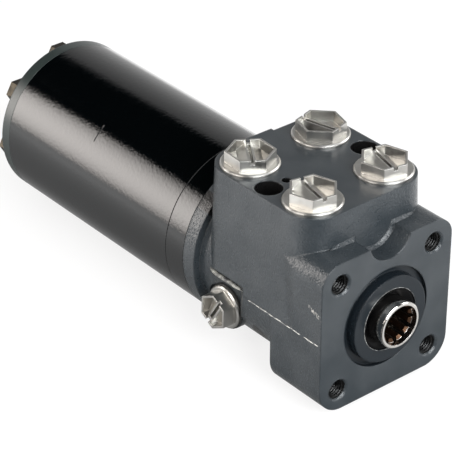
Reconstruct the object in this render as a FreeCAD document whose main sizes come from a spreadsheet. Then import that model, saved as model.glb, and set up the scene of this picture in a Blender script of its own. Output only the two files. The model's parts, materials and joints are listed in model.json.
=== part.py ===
"""Orbital steering unit: a hand-operated gerotor metering pump with a rotary valve.

Millimetres. The origin is the centre of the column face on the shaft axis. The shaft
axis runs along +Y towards the end cover, +X is to the right of someone who looks along
+Y, and +Z is up, where the ports are.

The housing carries a sleeve in its bore and the spool in the sleeve. A cross pin ties
the sleeve to the cardan shaft, which drives a six-lobed gear wheel that rolls inside a
rim with seven lobes. Round pieces are turned profiles, given as (radius, place along Y).
"""
import FreeCAD, Part
import math
import os
import re
import Sketcher
from FreeCAD import Placement, Rotation, Vector

SIZES = {
    # How far a cutting tool stands out of the face that it opens
    "overcut": 1.0,
    # Rear flange, the widest round of the housing; the widths of the others are set in from it
    "flange_radius": 43.0,
    "flange_thickness": 8.1,
    "housing_length": 99.1,
    # Column face and front plate
    "plate_inset": 2.2,
    "plate_top": 41.0,
    "plate_bottom": 40.4,
    "plate_depth": 35.7,
    "plate_round_top": 11.0,
    "plate_round_bottom": 14.0,
    "plate_run_start": 20.0,
    "plate_run_end": 30.0,
    "plate_run_in": 2.0,
    "column_bolt_pitch": 58.34,
    "column_hole_radius": 5.0,
    "column_hole_depth": 18.0,
    "column_hole_chamfer": 1.0,
    "notch_radius": 13.3,
    "notch_side": 1.2,
    "notch_height": 44.85,
    # Spigot and the ring groove around it
    "spigot_radius": 22.6,
    "spigot_rise": 2.9,
    "ring_groove_radius": 26.2,
    "ring_groove_depth": 2.6,
    # Port block
    "block_top": 58.2,
    "block_draft": 2.9,
    "block_front": 12.2,
    "block_round": 16.2,
    "block_tab_width": 15.0,
    "block_tab_reach": 2.0,
    # Barrel behind the plate, and the neck in front of the rear flange
    "barrel_inset": 2.7,
    "neck_inset": 4.0,
    "neck_length": 6.0,
    "neck_taper": 9.0,
    # Bore for sleeve, bearing and seals
    "neck_bore": 12.6,
    "dust_bore": 16.26,
    "dust_bore_depth": 5.3,
    "seal_groove_radius": 15.4,
    "seal_groove_start": 4.2,
    "seal_groove_width": 3.8,
    "bearing_start": 10.0,
    "gallery_depth": 2.5,
    "gallery_width": 8.0,
    "running_gap": 0.03,
    "loose_gap": 0.3,
    # Ports and their plugs
    "port_inset": 15.7,
    "port_front": 28.4,
    "port_back_inset": 17.8,
    "port_radius": 10.3,
    "port_depth": 16.0,
    "port_seat_radius": 12.3,
    "port_seat_depth": 2.2,
    "passage_radius": 3.5,
    "passage_floor": 7.0,
    "port_seal_wire": 0.95,
    "plug_flange_radius": 14.5,
    "plug_flange_height": 1.8,
    "plug_flats": 21.6,
    "plug_cup_height": 5.6,
    "plug_cup_floor": 0.5,
    "plug_wall": 1.1,
    "plug_stud_length": 11.0,
    "plug_stud_chamfer": 1.0,
    "plug_rim_chamfer": 0.7,
    "plug_slot": 2.0,
    "plug_slot_depth": 1.9,
    "plug_ridge_foot": 12.0,
    "plug_ridge_top": 3.6,
    "fixed_gap": 0.05,
    # Load-sensing port on the left side, in a hollow of the casting
    "side_sink": 7.8,
    "side_port_inset": 16.7,
    "side_port_below": 17.1,
    "side_port_radius": 6.5,
    "side_port_depth": 13.0,
    "side_bleed_radius": 1.5,
    "side_boss_radius": 12.0,
    "side_spot_radius": 12.3,
    "side_floor_lead": 9.5,
    "side_floor_trail": 2.2,
    "side_floor_top": 4.0,
    "side_wall_spread": 12.5,
    "side_flange_radius": 11.2,
    "side_flange_height": 1.8,
    "side_flats": 16.8,
    "side_cup_height": 6.6,
    "side_seal_radius": 11.8,
    "side_seal_height": 1.0,
    # Shock valve bores and the check valve in the pump port
    "shock_inset": 7.9,
    "shock_along": 50.5,
    "shock_radius": 6.85,
    "shock_floor": 22.0,
    "shock_screw_top": 47.0,
    "shock_screw_length": 9.0,
    "shock_hex": 6.0,
    "shock_hex_depth": 5.0,
    "shock_spring_wire": 0.7,
    "shock_spring_radius": 3.6,
    "shock_spring_turns": 4.0,
    "drill_side": 18.9,
    "drill_along": 50.8,
    "drill_radius": 2.5,
    "drill_depth": 9.0,
    "ball_radius": 4.0,
    "seat_hole_radius": 3.0,
    "check_radius": 6.5,
    "check_floor": 26.0,
    "check_bush_length": 6.0,
    # Gear set
    "plate_thickness": 13.7,
    "front_rim_length": 70.4,
    "rear_rim_length": 64.6,
    "cover_thickness": 7.0,
    "cover_chamfer": 0.5,
    "lobe_inset": 7.0,
    "lobe_radius": 10.0,
    "orbit_radius": 3.6,
    "gear_gap": 0.1,
    "gear_end_gap": 0.1,
    "wheel_bore": 11.5,
    "wheel_spline_length": 32.0,
    "feed_inset": 8.5,
    "feed_radius": 3.0,
    "oring_inset": 2.6,
    "oring_wire": 0.75,
    "oring_groove_width": 1.7,
    "oring_groove_gap": 0.1,
    "screw_inset": 9.0,
    "screw_radius": 4.0,
    "screw_hole_gap": 0.25,
    "screw_flats": 13.0,
    "screw_head": 5.6,
    "screw_grip": 13.0,
    "screw_end_gap": 1.0,
    "washer_radius": 7.6,
    "washer_thickness": 1.2,
    # Spool and sleeve
    "neck_radius_spool": 12.0,
    "neck_reach": 10.0,
    "neck_chamfer": 0.5,
    "spool_radius": 15.0,
    "spool_bore": 11.3,
    "spline_minor": 8.73,
    "spline_major": 10.4,
    "spline_foot": 3.1,
    "spline_tip": 2.0,
    "spline_lead": 3.0,
    "spline_lead_taper": 1.0,
    "spline_end": 16.0,
    "sleeve_radius": 19.0,
    "sleeve_start": 16.5,
    "sleeve_end_gap": 0.4,
    "sleeve_port_radius": 2.2,
    "sleeve_feed_radius": 1.8,
    "spool_groove_width": 3.5,
    "spool_groove_depth": 1.2,
    "pin_along": 74.0,
    "pin_radius": 4.0,
    "pin_play": 2.4,
    "spring_along": 30.0,
    "spring_width": 7.0,
    "spring_slot": 5.0,
    "leaf_thickness": 0.8,
    "leaf_bow": 0.6,
    "leaf_gap": 0.1,
    "ring_recess": 17.9,
    "ring_width": 9.0,
    # Bearing and seals
    "race_bore": 12.7,
    "race_thickness": 1.5,
    "cage_thickness": 1.5,
    "needle_radius": 1.1,
    "needle_length": 4.4,
    "dust_lip_rise": 2.0,
    "dust_rim_sink": 0.6,
    "dust_rim_width": 1.3,
    "seal_ring_width": 1.6,
    # Cardan shaft and its spacer
    "cardan_radius": 8.2,
    "cardan_head": 10.6,
    "cardan_head_chamfer": 1.0,
    "cardan_spline_length": 20.0,
    "cardan_spline_gap": 0.32,
    "cardan_crown": 1.2,
    "cardan_tooth": 1.4,
    "spacer_thickness": 4.0,
}
# Counts are kept apart from lengths, so that scaling the lengths leaves them alone.
RIM_LOBES = 7
WHEEL_LOBES = RIM_LOBES - 1
SPLINE_TEETH = 12
NEEDLES = 12
# Points of the gear wheel's outline for each of its lobes, and how strongly they crowd in its hollows
WHEEL_POINTS = 16
HOLLOW_CROWDING = 0.9

# Proportions of the cardan shaft, in cross pin radii, and the even share of its spline
CARDAN_NOSE = 2.2
CARDAN_SHOULDER = 1.5
CARDAN_NECK = 3
SPLINE_CROWN_SHARE = 0.3

# Half the width of a plug's ridge slot, in slot widths, and a valve spring's foot above its
# ball's middle, in ball radii
RIDGE_SLOT_SHARE = 0.4
SPRING_FOOT_SHARE = 0.75

doc = FreeCAD.newDocument("SteeringUnit")
sheet = doc.addObject("Spreadsheet::Sheet", "Sizes")
for row, (name, value) in enumerate(SIZES.items(), start=1):
    sheet.set(f"A{row}", name)
    sheet.set(f"B{row}", str(value))
    sheet.setAlias(f"B{row}", name)
doc.recompute()


def bound(formula):
    """Names the sheet in front of each size in a formula."""
    return re.sub(r"[a-z_]+", lambda word: "Sizes." + word[0] if word[0] in SIZES else word[0], formula)


def tie(thing, **formulas):
    """Binds properties of an object to formulas over the sizes."""
    for prop, formula in formulas.items():
        thing.setExpression(prop.replace("__", "."), bound(formula))
    return thing


def size(name):
    return sheet.get(name)


# Places along the shaft axis that several pieces share
PLATE_FRONT = "housing_length"
RIM_FRONT = "(housing_length + plate_thickness)"
RIM_JOINT = "(housing_length + plate_thickness + front_rim_length)"
COVER_FRONT = "(housing_length + plate_thickness + front_rim_length + rear_rim_length)"
COVER_BACK = "(housing_length + plate_thickness + front_rim_length + rear_rim_length + cover_thickness)"
FLANGE_FRONT = "(housing_length - flange_thickness)"
NECK_START = "(housing_length - flange_thickness - neck_length)"
BLOCK_BACK = "(housing_length - flange_thickness)"
PORT_BACK = "(housing_length - flange_thickness - port_back_inset)"
SIDE_PORT_ALONG = "(housing_length - flange_thickness - side_port_inset)"

# Middles of the oil galleries around the sleeve
GALLERIES = [
    "(port_front + gallery_width / 2)",
    f"((port_front + {PORT_BACK}) / 2)",
    PORT_BACK,
    f"({PORT_BACK} + 2 * gallery_width)",
]

# Distances from the shaft axis, each set in from the rear flange
PLATE_SIDE = "(flange_radius - plate_inset)"
BLOCK_SIDE = "(flange_radius - plate_inset - block_draft)"
PORT_SIDE = "(flange_radius - plate_inset - block_draft - port_inset)"
SHOCK_SIDE = "(flange_radius - plate_inset - block_draft - shock_inset)"
BARREL_RADIUS = "(flange_radius - barrel_inset)"
NECK_RADIUS = "(flange_radius - neck_inset)"
SIDE_FACE = "(flange_radius - side_sink)"
LOBE_CIRCLE = "(flange_radius - lobe_inset)"
FEED_CIRCLE = "(flange_radius - lobe_inset - feed_inset)"
SCREW_CIRCLE = "(flange_radius - screw_inset)"
ORING_CIRCLE = "(flange_radius - oring_inset)"

# Places of the port plugs, with the angle in degrees at which each was last turned
PORT_PLUGS = {
    "port_plug_rear_left": (f"-{PORT_SIDE}", PORT_BACK, -33.5),
    "port_plug_rear_right": (PORT_SIDE, PORT_BACK, 15.0),
    "port_plug_front_right": (PORT_SIDE, "port_front", -13.5),
    "port_plug_front_left": (f"-{PORT_SIDE}", "port_front", -11.5),
}
SIDE_PLUG_ANGLE = 58.0


def origin_feature(body, role):
    return next(item for item in body.Origin.OriginFeatures if item.Role == role)


def new_body(label):
    body = doc.addObject("PartDesign::Body", label)
    body.Label = label
    return body


def new_sketch(body, plane, offset):
    sketch = body.newObject("Sketcher::SketchObject", body.Label + "_sketch")
    sketch.AttachmentSupport = [(origin_feature(body, plane), "")]
    sketch.MapMode = "FlatFace"
    tie(sketch, AttachmentOffset__Base__z=offset)
    return sketch


def outline(body, plane, corners, offset="0"):
    """A closed outline with straight sides, each corner tied to the sizes."""
    sketch = new_sketch(body, plane, offset)
    count = len(corners)
    angles = [2 * math.pi * k / count for k in range(count)]
    start = [Vector(math.cos(angle), math.sin(angle)) for angle in angles]
    for k in range(count):
        sketch.addGeometry(Part.LineSegment(start[k], start[(k + 1) % count]), False)
    for k in range(count):
        sketch.addConstraint(Sketcher.Constraint("Coincident", k, 2, (k + 1) % count, 1))
    for k, (across, along) in enumerate(corners):
        for kind, formula in (("DistanceX", across), ("DistanceY", along)):
            number = sketch.addConstraint(Sketcher.Constraint(kind, -1, 1, k, 1, 1.0))
            sketch.setExpression(f"Constraints[{number}]", bound(formula))
    return sketch


def round_outline(body, plane, radius, across="0", along="0", offset="0"):
    """One circle, its radius and centre tied to the sizes."""
    sketch = new_sketch(body, plane, offset)
    sketch.addGeometry(Part.Circle(Vector(0, 0, 0), Vector(0, 0, 1), 1.0), False)
    rows = (
        (Sketcher.Constraint("Radius", 0, 1.0), radius),
        (Sketcher.Constraint("DistanceX", -1, 1, 0, 3, 1.0), across),
        (Sketcher.Constraint("DistanceY", -1, 1, 0, 3, 1.0), along),
    )
    for constraint, formula in rows:
        number = sketch.addConstraint(constraint)
        sketch.setExpression(f"Constraints[{number}]", bound(formula))
    return sketch


def pad(body, sketch, length, reverse=False, both_ways=False):
    feature = body.newObject("PartDesign::Pad", body.Label + "_pad")
    feature.Profile = sketch
    feature.Reversed = reverse
    feature.Midplane = both_ways
    return tie(feature, Length=length)


def pocket(body, sketch, length, reverse=False, both_ways=False):
    feature = body.newObject("PartDesign::Pocket", body.Label + "_pocket")
    feature.Profile = sketch
    feature.Reversed = reverse
    feature.Midplane = both_ways
    return tie(feature, Length=length)


def turned(label, profile, plane="XY_Plane"):
    """A piece turned about the upright axis of a plane, from (radius, height) corners."""
    body = new_body(label)
    feature = body.newObject("PartDesign::Revolution", label + "_turned")
    feature.Profile = outline(body, plane, profile)
    feature.ReferenceAxis = (feature.Profile[0], ["V_Axis"])
    feature.Angle = 360
    return body


def groove(body, profile):
    feature = body.newObject("PartDesign::Groove", body.Label + "_groove")
    feature.Profile = outline(body, "XY_Plane", profile)
    feature.ReferenceAxis = (feature.Profile[0], ["V_Axis"])
    feature.Angle = 360
    return feature


def repeat_round(body, feature, count, axis="Y_Axis"):
    """Repeats a feature evenly about an axis of the body."""
    pattern = body.newObject("PartDesign::PolarPattern", body.Label + "_pattern")
    pattern.Originals = [feature]
    pattern.Axis = (origin_feature(body, axis), [""])
    pattern.Angle = 360
    pattern.Occurrences = count
    body.Tip = pattern
    return pattern


def rounded_edges(body, feature, radius, keep):
    """Rounds those edges of a body that the keep function picks."""
    doc.recompute()
    names = [f"Edge{k}" for k, edge in enumerate(feature.Shape.Edges, start=1) if keep(edge)]
    rounding = body.newObject("PartDesign::Fillet", body.Label + "_fillet")
    rounding.Base = (feature, names)
    return tie(rounding, Radius=radius)


def placed(thing, at=("0", "0", "0"), turn=None):
    """Puts a primitive at a point tied to the sizes, turned as given."""
    thing.Placement = Placement(Vector(0, 0, 0), turn or Rotation())
    return tie(thing, Placement__Base__x=at[0], Placement__Base__y=at[1], Placement__Base__z=at[2])


ALONG_Y = Rotation(Vector(1, 0, 0), -90)
ALONG_X = Rotation(Vector(0, 1, 0), 90)


def rod(radius, length, at, turn=None):
    """A cylinder from a point, upwards unless it is turned."""
    return placed(tie(doc.addObject("Part::Cylinder", "Rod"), Radius=radius, Height=length), at, turn)


def cone(radius, far_radius, length, at, turn=None):
    thing = doc.addObject("Part::Cone", "Taper")
    return placed(tie(thing, Radius1=radius, Radius2=far_radius, Height=length), at, turn)


def seal_ring(label, circle, wire, centre, plane="XY_Plane"):
    """Ring with a round section, which is drawn with eight sides."""
    corners = []
    for k in range(8):
        angle = 22.5 + 45 * k
        corners.append((f"{circle} + {wire} * cos({angle} deg)", f"{centre} + {wire} * sin({angle} deg)"))
    return turned(label, corners, plane)


def ball(label, radius, at):
    thing = doc.addObject("Part::Sphere", label)
    thing.Label = label
    return placed(tie(thing, Radius=radius), at)


def prism(flats, height, at, turn=None):
    """A hexagonal prism by its width across flats."""
    thing = doc.addObject("Part::Prism", "Hexagon")
    thing.Polygon = 6
    return placed(tie(thing, Circumradius=f"({flats}) / sqrt(3)", Height=height), at, turn)


def joined(parts, label="Joined"):
    thing = doc.addObject("Part::MultiFuse", label)
    thing.Shapes = parts
    thing.Label = label
    return thing


def cut(base, tool, label="Cut"):
    thing = doc.addObject("Part::Cut", label)
    thing.Base = base
    thing.Tool = tool
    thing.Label = label
    return thing


def group(label, parts):
    """Loose pieces of one kind, kept together in one node."""
    thing = doc.addObject("Part::Compound", label)
    thing.Links = parts
    thing.Label = label
    return thing


def screw_places():
    """Angles of the cover screws, from +X towards +Z."""
    return [90 + k * 360 / RIM_LOBES for k in range(RIM_LOBES)]


def on_circle(circle, angle, along):
    """A point of a circle about the shaft axis, as three formulas."""
    return (f"{circle} * cos({angle:.9f} deg)", along, f"{circle} * sin({angle:.9f} deg)")


def box_corners(left, right, low, high):
    """Corners of an upright rectangle in a sketch."""
    return [(left, low), (right, low), (right, high), (left, high)]


def is_straight(edge, direction):
    """Whether an edge is straight and runs nearly along a direction."""
    if edge.Curve.TypeId != "Part::GeomLine":
        return False
    return abs(edge.tangentAt(edge.FirstParameter).dot(direction)) > 0.9


def make_plate():
    """Square front plate with rounded corners; its upper sides run out into the port block's."""
    body = new_body("plate_body")
    corners = box_corners(f"-{PLATE_SIDE}", PLATE_SIDE, "-plate_bottom", "plate_top")
    slab = pad(body, outline(body, "XZ_Plane", corners), "plate_depth", reverse=True)
    along = Vector(0, 1, 0)
    low = rounded_edges(
        body, slab, "plate_round_bottom", lambda edge: is_straight(edge, along) and edge.CenterOfMass.z < 0
    )
    rounded_edges(
        body, low, "plate_round_top", lambda edge: is_straight(edge, along) and edge.CenterOfMass.z > 0
    )
    for sign in ("-", ""):
        run_out = outline(body, "XY_Plane", [
            (f"{sign}{PLATE_SIDE}", "plate_run_start"),
            (f"{sign}({PLATE_SIDE} + overcut)", "plate_run_start"),
            (f"{sign}({PLATE_SIDE} + overcut)", "plate_depth + overcut"),
            (f"{sign}({PLATE_SIDE} - plate_run_in)", "plate_depth + overcut"),
            (f"{sign}({PLATE_SIDE} - plate_run_in)", "plate_run_end"),
        ])
        pocket(body, run_out, "plate_top + overcut", reverse=True)
    return body


def make_block():
    """Port block, wider at its foot by the draft of the casting, with a tab at its rear."""
    body = new_body("block_body")
    wall = outline(body, "XZ_Plane", [
        (f"-{BLOCK_SIDE}", "block_top"),
        (f"-{PLATE_SIDE}", "0"),
        (PLATE_SIDE, "0"),
        (BLOCK_SIDE, "block_top"),
    ], offset="-block_front")
    block = pad(body, wall, f"{BLOCK_BACK} - block_front", reverse=True)
    rounded_edges(body, block, "block_round", lambda edge: is_straight(edge, Vector(0, 0, 1)))
    tab_start = f"{BLOCK_BACK} - block_round"
    tab_end = f"{BLOCK_BACK} + block_tab_reach"
    tab = box_corners("-block_tab_width / 2", "block_tab_width / 2", tab_start, tab_end)
    pad(body, outline(body, "XY_Plane", tab, "block_top"), "block_top", reverse=True)
    return body


def make_barrel():
    """Round body behind the plate, with spigot, neck and rear flange."""
    return turned("barrel_body", [
        ("0", "-spigot_rise"),
        ("spigot_radius", "-spigot_rise"),
        ("spigot_radius", "block_front"),
        (BARREL_RADIUS, "block_front"),
        (BARREL_RADIUS, f"{NECK_START} - neck_taper"),
        (NECK_RADIUS, NECK_START),
        (NECK_RADIUS, FLANGE_FRONT),
        ("flange_radius", FLANGE_FRONT),
        ("flange_radius", PLATE_FRONT),
        ("0", PLATE_FRONT),
    ])


def make_side_boss():
    """Boss around the load-sensing port, which stands out where the barrel falls away below it."""
    outer = (f"-{SIDE_FACE}", SIDE_PORT_ALONG, "-side_port_below")
    return rod("side_boss_radius", f"{SIDE_FACE} - sleeve_radius - gallery_depth", outer, ALONG_X)


def bore_profile():
    """Stepped bore with its seal groove, bearing seat and oil galleries."""
    bore = "(sleeve_radius + running_gap)"
    gallery = "(sleeve_radius + gallery_depth)"
    profile = [
        ("0", "-spigot_rise - overcut"),
        ("dust_bore", "-spigot_rise - overcut"),
        ("dust_bore", "dust_bore_depth - spigot_rise"),
        ("neck_bore", "dust_bore_depth - spigot_rise"),
        ("neck_bore", "seal_groove_start"),
        ("seal_groove_radius", "seal_groove_start"),
        ("seal_groove_radius", "seal_groove_start + seal_groove_width"),
        ("neck_bore", "seal_groove_start + seal_groove_width"),
        ("neck_bore", "bearing_start"),
        (bore, "bearing_start"),
    ]
    for centre in GALLERIES:
        profile += [
            (bore, f"{centre} - gallery_width / 2"),
            (gallery, f"{centre} - gallery_width / 2"),
            (gallery, f"{centre} + gallery_width / 2"),
            (bore, f"{centre} + gallery_width / 2"),
        ]
    profile += [(bore, f"{PLATE_FRONT} + overcut"), ("0", f"{PLATE_FRONT} + overcut")]
    return profile


def port_cuts():
    """Four threaded ports on top, each with a passage down to a gallery."""
    cuts = []
    for side in (f"-{PORT_SIDE}", PORT_SIDE):
        for along in ("port_front", PORT_BACK):
            passage = "block_top - port_depth - passage_floor + overcut"
            cuts += [
                rod("port_radius", "port_depth", (side, along, "block_top - port_depth")),
                rod("port_seat_radius", "port_seat_depth", (side, along, "block_top - port_seat_depth")),
                rod("passage_radius", passage, (side, along, "passage_floor")),
            ]
    check_height = "block_top - port_depth - check_floor + overcut"
    cuts.append(rod("check_radius", check_height, (PORT_SIDE, PORT_BACK, "check_floor")))
    return cuts


def valve_cuts():
    """Two shock valve bores and the small drilling beside the left one."""
    cuts = []
    for side in (f"-{SHOCK_SIDE}", SHOCK_SIDE):
        seat_depth = "shock_floor - passage_floor + overcut"
        cuts += [
            rod("shock_radius", "block_top - shock_floor", (side, "shock_along", "shock_floor")),
            rod("seat_hole_radius", seat_depth, (side, "shock_along", "passage_floor")),
        ]
    cuts.append(rod("drill_radius", "drill_depth", ("-drill_side", "drill_along", "block_top - drill_depth")))
    return cuts


def column_cuts():
    """Four threaded holes of the column face, and the notch in the plate's top edge."""
    cuts = []
    mouth = "column_hole_radius + column_hole_chamfer"
    for side in ("-column_bolt_pitch / 2", "column_bolt_pitch / 2"):
        for height in ("-column_bolt_pitch / 2", "column_bolt_pitch / 2"):
            cuts += [
                rod("column_hole_radius", "column_hole_depth", (side, "0", height), ALONG_Y),
                cone(mouth, "column_hole_radius", "column_hole_chamfer", (side, "0", height), ALONG_Y),
            ]
    notch = ("notch_side", "-overcut", "notch_height")
    cuts.append(rod("notch_radius", "block_front + overcut", notch, ALONG_Y))
    return cuts


def rear_cuts():
    """Screw holes and feed holes in the rear face."""
    cuts = []
    for angle in screw_places():
        hole = on_circle(SCREW_CIRCLE, angle, f"{PLATE_FRONT} - screw_grip")
        between = angle + 180 / RIM_LOBES
        feed = on_circle("(sleeve_radius + gallery_depth + feed_radius / 2)", between, GALLERIES[-1])
        cuts += [
            rod("screw_radius + fixed_gap", "screw_grip + overcut", hole, ALONG_Y),
            rod("feed_radius", f"{PLATE_FRONT} - {GALLERIES[-1]} + overcut", feed, ALONG_Y),
        ]
    return cuts


def side_cuts():
    """Hollow with sloping walls on the left side, and the spot face and bore of the port in it."""
    hollow = new_body("side_hollow")
    front = f"{SIDE_PORT_ALONG} - side_floor_lead"
    back = f"{SIDE_PORT_ALONG} + side_floor_trail"
    floor = outline(
        hollow, "YZ_Plane", box_corners(front, back, "-plate_bottom", "-side_floor_top"), f"-{SIDE_FACE}"
    )
    walls = pad(hollow, floor, "side_sink", reverse=True)
    tie(walls, TaperAngle="atan(side_wall_spread / side_sink)")
    outer = ("-flange_radius", SIDE_PORT_ALONG, "-side_port_below")
    inner = (f"-{SIDE_FACE}", SIDE_PORT_ALONG, "-side_port_below")
    deep = (f"-{SIDE_FACE} + side_port_depth - overcut", SIDE_PORT_ALONG, "-side_port_below")
    return [
        hollow,
        rod("side_spot_radius", "side_sink", outer, ALONG_X),
        rod("side_port_radius", "side_port_depth", inner, ALONG_X),
        rod("side_bleed_radius", f"{SIDE_FACE} - side_port_depth", deep, ALONG_X),
    ]


def oring_corners(along):
    """Section of an O-ring groove that opens rearwards at a place on the shaft axis."""
    left = f"{ORING_CIRCLE} - oring_groove_width / 2"
    right = f"{ORING_CIRCLE} + oring_groove_width / 2"
    return box_corners(left, right, f"{along} - 2 * oring_wire - oring_groove_gap", f"{along} + overcut")


def make_housing():
    """Cast housing: plate, barrel and port block in one, then everything machined out of it."""
    casting = joined([make_plate(), make_barrel(), make_block(), make_side_boss()], "casting")
    ring = turned("ring_groove_body", box_corners(
        "spigot_radius", "ring_groove_radius", "-overcut", "ring_groove_depth"
    ))
    bore = turned("bore_body", bore_profile())
    tools = [ring, bore, turned("housing_oring_groove", oring_corners(PLATE_FRONT))]
    tools += port_cuts() + valve_cuts() + column_cuts() + rear_cuts() + side_cuts()
    return cut(casting, joined(tools, "machining"), "housing")


def flange_holes(body, circle, radius, along, length, angle):
    """Seven holes through a round plate, the first one at an angle."""
    place = (f"{circle} * cos({angle:.9f} deg)", f"{circle} * sin({angle:.9f} deg)")
    sketch = round_outline(body, "XZ_Plane", radius, place[0], place[1], offset=f"-({along})")
    return repeat_round(body, pocket(body, sketch, length), RIM_LOBES)


def make_distributor_plate():
    """Plate that leads oil from the housing into the seven gear chambers."""
    body = turned("distributor_plate", box_corners("wheel_bore", "flange_radius", PLATE_FRONT, RIM_FRONT))
    groove(body, oring_corners(RIM_FRONT))
    flange_holes(body, SCREW_CIRCLE, "screw_radius + screw_hole_gap", PLATE_FRONT, "plate_thickness", 90)
    flange_holes(body, FEED_CIRCLE, "feed_radius", PLATE_FRONT, "plate_thickness", 90 + 180 / RIM_LOBES)
    return body


def make_rim(label, front, back, length):
    """Gear rim: a tube with seven round lobes inside, each with a screw hole."""
    root = f"({LOBE_CIRCLE} - lobe_radius + 2 * orbit_radius + 2 * gear_gap)"
    body = turned(label, box_corners(root, "flange_radius", front, back))
    lobe = round_outline(body, "XZ_Plane", "lobe_radius", "0", LOBE_CIRCLE, offset=f"-({front})")
    repeat_round(body, pad(body, lobe, length, reverse=True), RIM_LOBES)
    outside = f"({LOBE_CIRCLE} + lobe_radius + overcut)"
    groove(body, box_corners("flange_radius", outside, front, back))
    groove(body, oring_corners(back))
    flange_holes(body, SCREW_CIRCLE, "screw_radius + screw_hole_gap", front, length, 90)
    return body


def make_end_cover():
    body = turned("end_cover", [
        ("0", COVER_FRONT),
        ("flange_radius", COVER_FRONT),
        ("flange_radius", f"{COVER_BACK} - cover_chamfer"),
        ("flange_radius - cover_chamfer", COVER_BACK),
        ("0", COVER_BACK),
    ])
    flange_holes(body, SCREW_CIRCLE, "screw_radius + screw_hole_gap", COVER_FRONT, "cover_thickness", 90)
    return body


def make_screws():
    """Seven long hexagon screws that clamp the gear set to the housing."""
    screws = []
    start = f"({PLATE_FRONT} - screw_grip + screw_end_gap)"
    seat = f"({COVER_BACK} + washer_thickness)"
    for angle in screw_places():
        shank = rod("screw_radius", f"{seat} - {start}", on_circle(SCREW_CIRCLE, angle, start), ALONG_Y)
        head = prism("screw_flats", "screw_head", on_circle(SCREW_CIRCLE, angle, seat), ALONG_Y)
        screws.append(joined([shank, head]))
    return group("cover_screws", screws)


def make_washers():
    washers = []
    for angle in screw_places():
        place = on_circle(SCREW_CIRCLE, angle, COVER_BACK)
        disc = rod("washer_radius", "washer_thickness", place, ALONG_Y)
        hole = rod("screw_radius + screw_hole_gap", "washer_thickness", place, ALONG_Y)
        washers.append(cut(disc, hole))
    return group("cover_screw_washers", washers)


def make_orings():
    rings = []
    for label, along in (
        ("housing_oring", PLATE_FRONT),
        ("distributor_oring", RIM_FRONT),
        ("rim_joint_oring", RIM_JOINT),
        ("cover_oring", COVER_FRONT),
    ):
        start = f"({along} - oring_wire - oring_groove_gap / 2)"
        rings.append(seal_ring(label, ORING_CIRCLE, "oring_wire", start))
    return rings


def wheel_profile():
    """Outline of the gear wheel: the path of the lobe centres, drawn in by the lobe radius.

    Seen from the wheel, the centre of each rim lobe runs along a wavy closed path. The
    flank that stays in touch with a round lobe lies one lobe radius inside that path.
    The path bends sharply in the wheel's hollows, so the points lie closer there, and
    each pair of steps is joined by an arc.
    """
    circle = size("flange_radius") - size("lobe_inset")
    orbit = size("orbit_radius")
    inset = size("lobe_radius") + size("gear_gap")
    steps = WHEEL_POINTS * WHEEL_LOBES
    points = []
    for step in range(steps):
        even = 2 * math.pi * step / steps
        turn = even - HOLLOW_CROWDING * math.sin(WHEEL_LOBES * even) / WHEEL_LOBES
        across = circle * math.cos(turn) - orbit * math.cos(RIM_LOBES * turn)
        up = circle * math.sin(turn) - orbit * math.sin(RIM_LOBES * turn)
        slope_across = -circle * math.sin(turn) + RIM_LOBES * orbit * math.sin(RIM_LOBES * turn)
        slope_up = circle * math.cos(turn) - RIM_LOBES * orbit * math.cos(RIM_LOBES * turn)
        slope = math.hypot(slope_across, slope_up)
        points.append(Vector(across - inset * slope_up / slope, 0, up + inset * slope_across / slope))
    arcs = [Part.Arc(points[k], points[k + 1], points[(k + 2) % steps]).toShape() for k in range(0, steps, 2)]
    return Part.Wire(arcs)


def spline_corners():
    """Straight-sided tooth space that points up, cut from inside the bore."""
    low = "spline_minor - overcut"
    return [
        ("-spline_foot / 2", low),
        ("spline_foot / 2", low),
        ("spline_tip / 2", "spline_major"),
        ("-spline_tip / 2", "spline_major"),
    ]


def make_wheel_hole(start, length):
    """Tool for the wheel's bore and the spline behind it, turned so that teeth meet spaces."""
    spline_start = f"({start} + {length} - wheel_spline_length)"
    tool = turned("wheel_hole", box_corners("0", "wheel_bore", f"{start} - overcut", spline_start))
    reach = "wheel_spline_length + 2 * overcut"
    offset = f"overcut - {spline_start}"
    pad(tool, round_outline(tool, "XZ_Plane", "spline_minor", offset=offset), reach, reverse=True)
    space = outline(tool, "XZ_Plane", spline_corners(), offset=offset)
    repeat_round(tool, pad(tool, space, reach, reverse=True), SPLINE_TEETH)
    return placed(tool, ("0", "0", "-orbit_radius"), Rotation(Vector(0, 1, 0), 180 / SPLINE_TEETH))


def make_gear_wheel():
    """Six-lobed wheel, its centre one orbit radius below the shaft axis."""
    blank = doc.addObject("Part::Feature", "wheel_blank")
    blank.Shape = Part.Face(wheel_profile())
    solid = doc.addObject("Part::Extrusion", "wheel_solid")
    solid.Base = blank
    solid.Dir = Vector(0, 1, 0)
    solid.Solid = True
    start = f"({RIM_FRONT} + gear_end_gap)"
    length = "(front_rim_length + rear_rim_length - 2 * gear_end_gap)"
    tie(solid, LengthFwd=length)
    placed(solid, ("0", start, "-orbit_radius"))
    return cut(solid, make_wheel_hole(start, length), "gear_wheel")


def slot_corners():
    """Slot for the neutral springs, through sleeve and spool alike."""
    front = "spring_along - spring_width / 2 - fixed_gap"
    back = "spring_along + spring_width / 2 + fixed_gap"
    return box_corners("-spring_slot / 2", "spring_slot / 2", front, back)


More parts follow.
